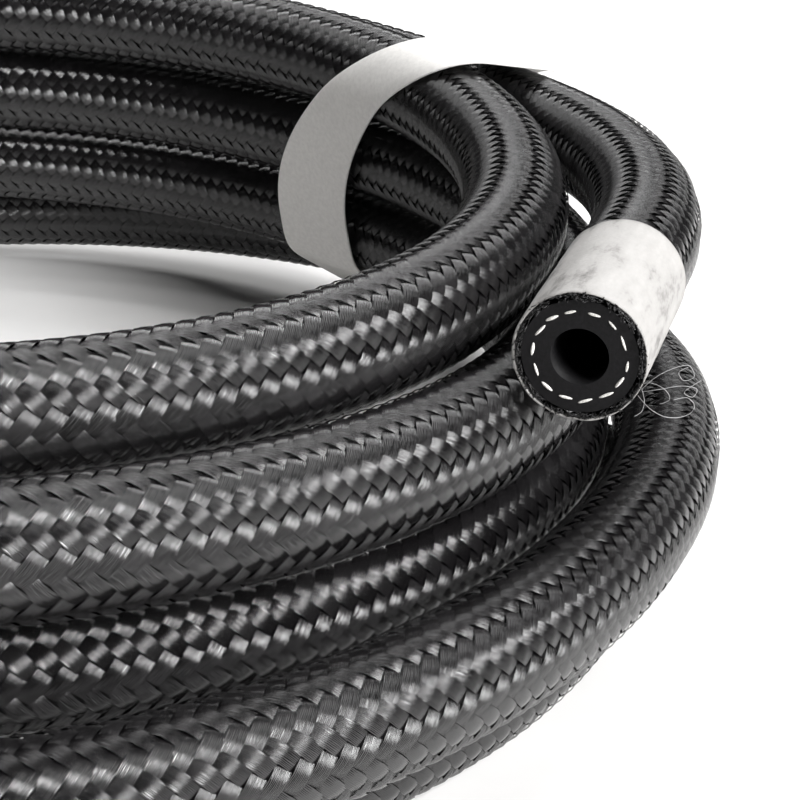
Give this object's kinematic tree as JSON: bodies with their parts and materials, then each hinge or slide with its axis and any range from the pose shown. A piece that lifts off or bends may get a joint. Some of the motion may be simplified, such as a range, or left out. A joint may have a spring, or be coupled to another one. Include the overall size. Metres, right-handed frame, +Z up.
{
  "type": "fuel hose",
  "caption": "Coil of braided rubber fuel hose lying flat, with a taped cut end on top and a band round the coil.",
  "frame": {"origin": "on the floor, under the middle of the coil", "axes": "+Z up, through the coil's middle; -Y the way that the taped end's bore opens; +X towards the side of the coil where the taped end lies"},
  "size_m": [0.2215, 0.2281, 0.0652],
  "materials": {
    "rubber": "matt, black, cut by a blade at the ends",
    "yarn": "off-white twisted yarn ends",
    "braid": "black woven nylon with a satin sheen",
    "tape": "white woven tape, slightly creased",
    "band": "matt white band"
  },
  "bodies": {
    "root": {"inner_tube": "rubber", "reinforcement_yarns": "yarn", "rubber_cover": "rubber", "braid_end": "braid", "braid_sleeve": "braid", "end_tape": "tape", "coil_band": "band"}
  },
  "joints": []
}
